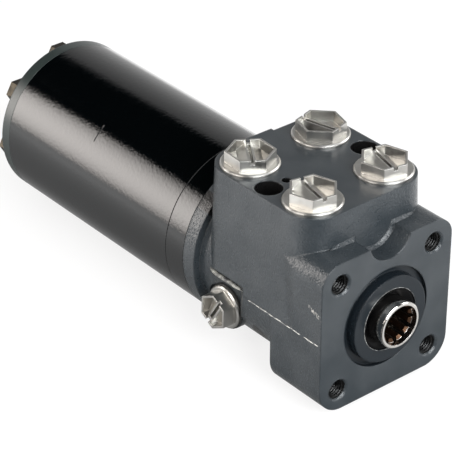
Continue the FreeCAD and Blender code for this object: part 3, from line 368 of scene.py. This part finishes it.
def screw_zinc():
    """Dark bronze-coloured zinc, browned unevenly."""
    finish = Finish("screw_zinc", metallic=1.0)
    tone = finish.between(finish.noise(350.0, 4.0), 0.35, 0.65)
    finish.set("Base Color", finish.mixed(tone, (0.028, 0.025, 0.02), (0.07, 0.06, 0.046)))
    finish.set("Roughness", finish.between(finish.noise(700.0, 3.0), 0.3, 0.7, 0.36, 0.5))
    finish.set("Normal", finish.bump(finish.noise(1200.0), 0.05 * MM, 0.2, finish.softened(0.3 * MM)))
    return finish.material


def plug_metal():
    """Pale satin metal of the transit plugs, a little greyer in patches."""
    finish = Finish("plug_metal", metallic=1.0)
    tone = finish.between(finish.noise(120.0, 4.0), 0.35, 0.65)
    finish.set("Base Color", finish.mixed(tone, (0.43, 0.42, 0.40), (0.54, 0.53, 0.50)))
    finish.set("Roughness", finish.between(finish.noise(300.0, 3.0), 0.3, 0.7, 0.28, 0.38))
    finish.set("Normal", finish.bump(finish.noise(1500.0, 2.0), 0.03 * MM, 0.2, finish.softened(0.5 * MM)))
    return finish.material


def spool_steel():
    """Ground and polished outside; the splines inside are coloured an uneven dark brown."""
    finish = Finish("spool_steel", metallic=1.0)
    inside = finish.between(finish.from_shaft_axis(), SPLINE_TIPS, SPLINE_TIPS + 0.4 * MM, 1.0, 0.0)
    brown = finish.mixed(finish.noise(400.0, 3.0), (0.05, 0.025, 0.014), (0.14, 0.08, 0.05))
    finish.set("Base Color", finish.mixed(inside, (0.72, 0.70, 0.67), brown))
    finish.set("Roughness", finish.between(inside, 0.0, 1.0, 0.14, 0.38))
    finish.set("Normal", finish.bump(finish.turned_marks(), 0.03 * MM, 0.2, finish.softened(0.3 * MM)))
    return finish.material


def bright_steel():
    """Ground steel of the pieces inside."""
    finish = Finish("bright_steel", metallic=1.0)
    tone = finish.between(finish.noise(240.0, 4.0), 0.4, 0.7)
    finish.set("Base Color", finish.mixed(tone, (0.60, 0.56, 0.50), (0.72, 0.70, 0.67)))
    marks = finish.turned_marks()
    finish.set("Roughness", finish.between(marks, 0.3, 0.7, 0.16, 0.3))
    finish.set("Normal", finish.bump(marks, 0.05 * MM, 0.3, finish.softened(0.2 * MM)))
    return finish.material


def seal_gloss():
    """Glossy black of the oiled dust seal."""
    finish = Finish("seal_gloss")
    finish.set("Base Color", (0.001, 0.001, 0.0012, 1.0))
    finish.set("Specular IOR Level", 0.06)
    finish.set("Normal", finish.bump(finish.noise(600.0, 2.0), 0.04 * MM, 0.3, finish.softened(0.3 * MM)))
    finish.set("Roughness", finish.between(finish.noise(300.0), 0.3, 0.7, 0.1, 0.22))
    return finish.material


def black_rubber():
    finish = Finish("black_rubber")
    finish.set("Base Color", (0.012, 0.012, 0.012, 1.0))
    finish.set("Normal", finish.bump(finish.noise(1800.0), 0.1 * MM, 0.4))
    finish.set("Roughness", finish.between(finish.noise(500.0), 0.3, 0.7, 0.45, 0.65))
    return finish.material


def seal_plastic():
    finish = Finish("seal_plastic")
    finish.set("Roughness", 0.45)
    finish.set("Base Color", finish.mixed(finish.noise(900.0), (0.12, 0.08, 0.04), (0.2, 0.13, 0.07)))
    return finish.material


def painted_edge_highlight(name, dull, pale):
    """Pale line of painted highlight along a fine ridge, paler in patches."""
    finish = Finish(name)
    finish.set("Roughness", 0.4)
    highlight = finish.between(finish.noise(500.0, 3.0), 0.4, 0.6)
    finish.set("Base Color", finish.mixed(highlight, dull, pale))
    return finish.material


STEEL = bright_steel()
ZINC = screw_zinc()
FINISHES = {
    "cast_housing": cast_paint(),
    "black_paint": gloss_black(),
    "screw_zinc": ZINC,
    "valve_steel": ZINC,
    "plug_grey": plug_metal(),
    "ground_steel": STEEL,
    "spring_steel": STEEL,
    "black_rubber": black_rubber(),
    "seal_plastic": seal_plastic(),
}
NODE_FINISHES = {"end_cover": satin_cover(), "spool": spool_steel(), "dust_seal": seal_gloss()}


def shade(mesh, sharp_angle):
    """Smooth shading, apart from edges that turn by more than an angle in degrees."""
    mesh.shade_smooth()
    mesh.set_sharp_from_angle(angle=math.radians(sharp_angle))


def dress_nodes():
    """Gives every CAD node the finish of its material slot, with smooth curved faces."""
    for part in frame["record"]["subparts"]:
        thing = nodes[part["node"]]
        for holder in thing.material_slots:
            holder.material = NODE_FINISHES.get(part["node"], FINISHES[part["material_slot"]])
        shade(thing.data, 30)


def new_piece(name, mesh_maker, material, body):
    """A piece of the scene made with bmesh, riding on a body."""
    mesh = bpy.data.meshes.new(name)
    builder = bmesh.new()
    mesh_maker(builder)
    builder.to_mesh(mesh)
    builder.free()
    mesh.shade_smooth()
    piece = bpy.data.objects.new(name, mesh)
    bpy.context.scene.collection.objects.link(piece)
    piece.data.materials.append(material)
    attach(piece, body)
    return piece


def thread_ridge(builder, centre, wall, length):
    """One thread of a tapped hole that runs along +Y: a ridge that winds inwards from its wall."""
    count = int(length / THREAD_PITCH * THREAD_STEPS)
    half_foot = THREAD_PITCH * 0.44
    half_tip = half_foot * 0.14
    foot_radius = wall + 0.02 * MM
    rings = []
    for k in range(count + 1):
        angle = 2 * math.pi * k / THREAD_STEPS
        along = centre.y + half_foot + (length - 2 * half_foot) * k / count
        out = Vector((math.cos(angle), 0, math.sin(angle)))
        growth = min(1.0, k / THREAD_STEPS, (count - k) / THREAD_STEPS)
        tip_radius = wall - THREAD_DEPTH * max(growth, 0.02)
        base = Vector((centre.x, along, centre.z))
        profile = ((foot_radius, -half_foot), (tip_radius, -half_tip),
                   (tip_radius, half_tip), (foot_radius, half_foot))
        rings.append([builder.verts.new(base + out * radius + Vector((0, shift, 0)))
                      for radius, shift in profile])
    for near, far in zip(rings, rings[1:]):
        for k in range(4):
            builder.faces.new((near[k], near[(k + 1) % 4], far[(k + 1) % 4], far[k]))
    builder.faces.new(rings[0][::-1])
    builder.faces.new(rings[-1])


def add_column_threads():
    def build(builder):
        for side in (-0.5, 0.5):
            for up in (-0.5, 0.5):
                centre = Vector((side * COLUMN_PITCH, THREAD_START, up * COLUMN_PITCH))
                thread_ridge(builder, centre, COLUMN_HOLE, THREAD_LENGTH)

    piece = new_piece("column_hole_threads", build, FINISHES["cast_housing"], "housing")
    shade(piece.data, 35)


def sweep(builder, stations, section, closed=False):
    """A strip along stations of (foot, wall normal, floor normal, size); the section's points
    are pairs of distances out from the wall and up from the floor."""
    rings = []
    for foot, wall, floor, size in stations:
        rings.append([builder.verts.new(foot + (wall * out + floor * up) * size) for out, up in section])
    count = len(section)
    if not closed:
        builder.faces.new(rings[0])
        builder.faces.new(rings[-1][::-1])
    for near, far in zip(rings, rings[1:] + rings[:1] if closed else rings[1:]):
        for k in range(count):
            builder.faces.new((near[k], near[(k + 1) % count], far[(k + 1) % count], far[k]))
    bmesh.ops.recalc_face_normals(builder, faces=builder.faces)


def cove_section(radius, sink=0.3 * MM, steps=6):
    """Hollow quarter round between a wall and a floor, sunk a little into both."""
    section = [(-sink, -sink), (radius, -sink)]
    for k in range(steps + 1):
        angle = math.pi / 2 * k / steps
        section.append((radius * (1 - math.sin(angle)), radius * (1 - math.cos(angle))))
    section.append((-sink, radius))
    return section


def straight_foot(places, front, up):
    """Stations along the plate's top for pairs of a place across in mm and a size."""
    return [(Vector((across * MM, BLOCK_FRONT, PLATE_TOP)), front, up, size) for across, size in places]


def notch_foot(front, up, steps=20):
    """Stations round the notch's rear end, whose ends turn halfway to the plate's top."""
    dip = NOTCH_HEIGHT - PLATE_TOP
    start = math.atan2(dip, math.sqrt(NOTCH_RADIUS ** 2 - dip ** 2))
    stations = []
    for k in range(steps + 1):
        angle = math.pi + start + (math.pi - 2 * start) * k / steps
        spoke = Vector((math.cos(angle), 0, math.sin(angle)))
        foot = Vector((NOTCH_SIDE, BLOCK_FRONT, NOTCH_HEIGHT)) + spoke * NOTCH_RADIUS
        inward = -spoke
        if k in (0, steps):
            inward = (inward + up) / (1 + inward.dot(up))
        stations.append((foot, front, inward, 1.0))
    return stations


def add_block_foot():
    """Cast fillet at the foot of the block's front wall and round the notch's rear end. It fades
    out at both corners."""
    front = Vector((0, -1, 0))
    up = Vector((0, 0, 1))
    stations = straight_foot(((-27, 0.1), (-24, 0.6), (-20, 0.9), (-14, 1.0)), front, up)
    stations += notch_foot(front, up)
    stations += straight_foot(((16, 1.0), (21, 0.9), (25, 0.6), (28, 0.1)), front, up)

    def build(builder):
        sweep(builder, stations, cove_section(1.7 * MM))

    piece = new_piece("block_foot_fillet", build, FINISHES["cast_housing"], "housing")
    shade(piece.data, 40)


def add_parting_line():
    """Fine ridge left by the mould's joint along the housing's left side, with one break. Its pale colour
    is a painted highlight.
    """
    section = [(-0.9 * MM, -0.28 * MM), (0.0, -0.28 * MM), (0.16 * MM, -0.1 * MM),
               (0.16 * MM, 0.1 * MM), (0.0, 0.28 * MM), (-0.9 * MM, 0.28 * MM)]

    def build(builder):
        for first, last in PARTING_RUNS:
            steps = round((last - first) / (1.5 * MM))
            stations = []
            for k in range(steps + 1):
                along = first + (last - first) * k / steps
                wave = 0.12 * MM * math.sin(along * 700) + 0.08 * MM * math.sin(along * 1900)
                foot = Vector((-PLATE_SIDE, along, PARTING_HEIGHT + wave))
                stations.append((foot, Vector((-1, 0, 0)), Vector((0, 0, 1)), 1.0))
            sweep(builder, stations, section)

    # Painted highlight: the ridge is coloured pale where light catches it.
    highlight = painted_edge_highlight("ridge_highlight", (0.14, 0.14, 0.14), (0.5, 0.49, 0.46))
    new_piece("parting_line", build, highlight, "housing")


def add_recess_edge():
    """Rounded cast edge above the recess of the side port; it follows the block's rear corner. Its pale
    colour is a painted highlight.
    """
    bulge = 0.75 * MM
    half_width = 0.9 * MM
    sink = 1.2 * MM
    section = []
    for k in range(9):
        angle = math.pi * (k / 8 - 0.5)
        section.append((bulge * math.cos(angle), half_width * math.sin(angle)))
    section += [(-sink, half_width), (-sink, -half_width)]

    def build(builder):
        first, last = RECESS_EDGE_RUN
        steps = 24
        stations = []
        for k in range(steps + 1):
            along = first + (last - first) * k / steps
            past = max(0.0, along - (BLOCK_BACK - BLOCK_ROUND))
            inward = BLOCK_ROUND - math.sqrt(BLOCK_ROUND ** 2 - past ** 2)
            foot = Vector((-PLATE_SIDE + 0.1 * MM + inward, along, RECESS_EDGE_HEIGHT))
            tilt = math.asin(past / BLOCK_ROUND)
            outward = Vector((-math.cos(tilt), math.sin(tilt), 0))
            size = min(1.0, 0.2 + 4 * k / steps, 0.2 + 4 * (steps - k) / steps)
            stations.append((foot, outward, Vector((0, 0, 1)), size))
        sweep(builder, stations, section)

    # Painted highlight along the rounded edge.
    lit = painted_edge_highlight("lit_edge", (0.05, 0.05, 0.05), (0.22, 0.22, 0.2))
    new_piece("recess_edge", build, lit, "housing")


def add_bore_edge():
    """Thin edge of the spigot's bore round the dust seal, coloured bright as a painted highlight."""
    section = [(0.0, -0.05 * MM), (0.22 * MM, -0.05 * MM), (0.1 * MM, 0.1 * MM), (0.0, 0.1 * MM)]
    middle = Vector((0, -SPIGOT_RISE, 0))
    steps = 96

    def build(builder):
        stations = []
        for k in range(steps):
            angle = 2 * math.pi * k / steps
            spoke = Vector((math.cos(angle), 0, math.sin(angle)))
            stations.append((middle + spoke * DUST_BORE, spoke, Vector((0, -1, 0)), 1.0))
        sweep(builder, stations, section, closed=True)

    # Painted highlight on the bore's edge.
    bright = painted_edge_highlight("bore_edge_highlight", (0.03, 0.03, 0.03), (0.3, 0.3, 0.29))
    new_piece("spigot_bore_edge", build, bright, "housing")


def add_camera():
    camera = bpy.data.objects.new("camera", bpy.data.cameras.new("camera"))
    bpy.context.scene.collection.objects.link(camera)
    camera.location = CAMERA_PLACE
    level = math.cos(CAMERA_DROP)
    forward = Vector((math.sin(CAMERA_TURN) * level, math.cos(CAMERA_TURN) * level, -math.sin(CAMERA_DROP)))
    camera.rotation_mode = "QUATERNION"
    camera.rotation_quaternion = forward.to_track_quat("-Z", "Y")
    camera.data.sensor_width = FILM_WIDTH
    camera.data.lens = FILM_WIDTH * FOCAL_PIXELS / IMAGE_WIDTH
    camera.data.clip_start = 0.05
    camera.data.clip_end = 20.0
    bpy.context.scene.camera = camera


def table_reflection(table):
    """How bright reflections see the table, as painted light and shade: a painted shadow near the object,
    where it shades the table, and painted shade on the right and in front of the object's left corner."""
    place = table.add("ShaderNodeTexCoord").outputs["Object"]
    rightward = table.axis_of(place, "X")
    leftward = table.times(rightward, -1.0)
    forward = table.times(table.axis_of(place, "Y"), -1.0)
    beside = table.between(table.maths("ABSOLUTE", rightward), 0.04, 0.21, 0.3, 1.9)
    mirrored = table.larger(beside, table.between(forward, 0.0, 0.08, 0.35, 1.1))
    mirrored = table.times(mirrored, table.between(rightward, 0.05, 0.4, 1.0, 0.44))
    corner = table.times(table.smaller(leftward, forward), 2.0)
    return table.times(mirrored, table.between(corner, -0.03, 0.08, 1.0, 0.1))


def white_table():
    """White that keeps the object's soft shadow close to it and is plain white farther off."""
    material = bpy.data.materials.new("white_table")
    material.use_nodes = True
    table = Nodes(material.node_tree)
    table.tree.nodes.clear()
    plain = table.add("ShaderNodeBsdfDiffuse")
    plain.inputs["Color"].default_value = (0.86, 0.86, 0.86, 1.0)
    camera = table.ray("Camera")
    glossy = table.ray("Glossy")
    # The glow is plain white for the camera; for reflections it carries the table's painted light and
    # shade.
    glow = table.add("ShaderNodeEmission")
    table.feed(table.plus(camera, table.times(glossy, table_reflection(table))), glow.inputs["Strength"])
    place = table.add("ShaderNodeTexCoord").outputs["Object"]
    across = table.maths("ABSOLUTE", table.axis_of(place, "X"))
    away = table.larger(across, table.maths("ABSOLUTE", table.axis_of(place, "Y")))
    whitened = table.between(away, 0.35, 0.6, 0.75, 1.0)
    blend = table.add("ShaderNodeMixShader")
    table.feed(table.plus(table.times(camera, whitened), glossy), blend.inputs[0])
    table.feed(plain.outputs[0], blend.inputs[1])
    table.feed(glow.outputs[0], blend.inputs[2])
    output = table.add("ShaderNodeOutputMaterial")
    table.feed(blend.outputs[0], output.inputs["Surface"])
    return material


def add_floor():
    """A plain white table. It ends on the left, where the gloss paint shows the softbox behind."""
    level = cad_box[0].z - TABLE_DROP
    across = Vector((math.cos(TABLE_EDGE_TURN), math.sin(TABLE_EDGE_TURN), 0))
    beside = Vector((across.y, -across.x, 0))
    corners = [across * TABLE_EDGE - beside * TABLE_REACH, across * -TABLE_REACH - beside * TABLE_REACH,
               across * -TABLE_REACH + beside * TABLE_REACH, across * TABLE_EDGE + beside * TABLE_REACH]
    mesh = bpy.data.meshes.new("table")
    mesh.from_pydata([(corner.x, corner.y, level) for corner in corners], [], [(0, 1, 2, 3)])
    table = bpy.data.objects.new("table", mesh)
    bpy.context.scene.collection.objects.link(table)
    table.data.materials.append(white_table())


def add_world():
    """Soft light from all round. Reflections see a white wall on the right that fades upwards
    and ends under a dark ceiling, and darkness on the left."""
    world = bpy.data.worlds.new("studio")
    bpy.context.scene.world = world
    world.use_nodes = True
    sky = Nodes(world.node_tree)
    sky.tree.nodes.clear()
    toward = sky.add("ShaderNodeTexCoord").outputs["Generated"]
    rise = sky.axis_of(toward, "Z")
    low_wall = sky.between(rise, 0.05, 0.42, 1.05, 0.80)
    high_wall = sky.between(rise, 0.42, 0.60, 1.0, 0.70)
    under_ceiling = sky.between(rise, 0.58, 0.595, 1.0, 0.0)
    right = sky.between(sky.axis_of(toward, "X"), -0.30, -0.15)
    wall = sky.times(sky.times(sky.times(low_wall, high_wall), under_ceiling), right)
    camera = sky.ray("Camera")
    glossy = sky.ray("Glossy")
    unseen = sky.maths("SUBTRACT", 1.0, sky.larger(camera, glossy))
    strength = sky.plus(camera, sky.times(glossy, sky.times(wall, WALL_LIGHT)))
    strength = sky.plus(strength, sky.times(unseen, AMBIENT))
    back = sky.add("ShaderNodeBackground")
    back.inputs["Color"].default_value = (*WHITE, 1.0)
    sky.feed(strength, back.inputs["Strength"])
    output = sky.add("ShaderNodeOutputWorld")
    sky.feed(back.outputs[0], output.inputs["Surface"])


def add_lamp(name, direction, distance, size, power, color, aim):
    """A softbox that faces a point from a direction."""
    data = bpy.data.lights.new(name, "AREA")
    data.shape = "RECTANGLE"
    data.size, data.size_y = size
    data.energy = power
    data.color = color
    lamp = bpy.data.objects.new(name, data)
    bpy.context.scene.collection.objects.link(lamp)
    lamp.location = aim + Vector(direction).normalized() * distance
    lamp.rotation_mode = "QUATERNION"
    lamp.rotation_quaternion = (aim - lamp.location).to_track_quat("-Z", "Y")
    return lamp


def fade_lamp(lamp):
    """Lets a softbox fade from its middle towards its upper and lower ends."""
    lamp.data.use_nodes = True
    fade = Nodes(lamp.data.node_tree)
    height = fade.axis_of(fade.add("ShaderNodeNewGeometry").outputs["Parametric"], "Y")
    arch = fade.times(fade.times(height, fade.maths("SUBTRACT", 1.0, height)), 4.0)
    fade.feed(arch, fade.tree.nodes["Emission"].inputs["Strength"])


def add_lamps():
    """The first one stands behind the left edge of the table, and the gloss paint shows it."""
    middle = (cad_box[0] + cad_box[1]) / 2
    gear_set = Vector((0, 0.17, 0))
    stripe = add_lamp("left_back_softbox", (-0.694, 0.720, 0.24), 2.1, (0.75, 1.74), 38.0, WARM, gear_set)
    fade_lamp(stripe)
    add_lamp("left_softbox", (-0.95, -0.05, 0.5), 1.6, (0.9, 0.9), 19.0, WARM, middle)
    add_lamp("front_softbox", (-0.1, -0.95, 0.55), 1.6, (1.2, 0.9), 42.0, COOL, middle)
    add_lamp("right_softbox", (0.9, -0.35, 0.6), 1.6, (0.9, 0.9), 10.0, WHITE, middle)


add_camera()
dress_nodes()
add_column_threads()
add_block_foot()
add_parting_line()
add_recess_edge()
add_bore_edge()
add_floor()
add_world()
add_lamps()
bpy.context.scene.view_settings.view_transform = "Standard"
